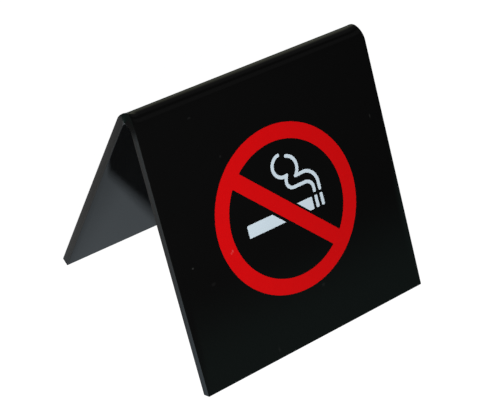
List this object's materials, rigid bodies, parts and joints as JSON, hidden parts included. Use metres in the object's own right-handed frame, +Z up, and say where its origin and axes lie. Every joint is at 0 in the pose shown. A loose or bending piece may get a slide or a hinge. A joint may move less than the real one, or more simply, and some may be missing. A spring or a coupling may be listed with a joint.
{
  "type": "no smoking table sign",
  "caption": "Free-standing table sign of folded black acrylic with a printed no smoking pictogram on its front panel.",
  "frame": {"origin": "on the table, under the middle of the fold", "axes": "+X along the fold, to the right as the print is read; +Y to the back, away from the printed panel; +Z up"},
  "size_m": [0.0603, 0.0556, 0.0552],
  "materials": {
    "black_acrylic": "gloss, with satin cut edges",
    "red_ink": "semi-gloss printed ink",
    "white_ink": "semi-gloss printed ink"
  },
  "bodies": {
    "root": {"folded_sheet": "black_acrylic"}
  },
  "joints": []
}
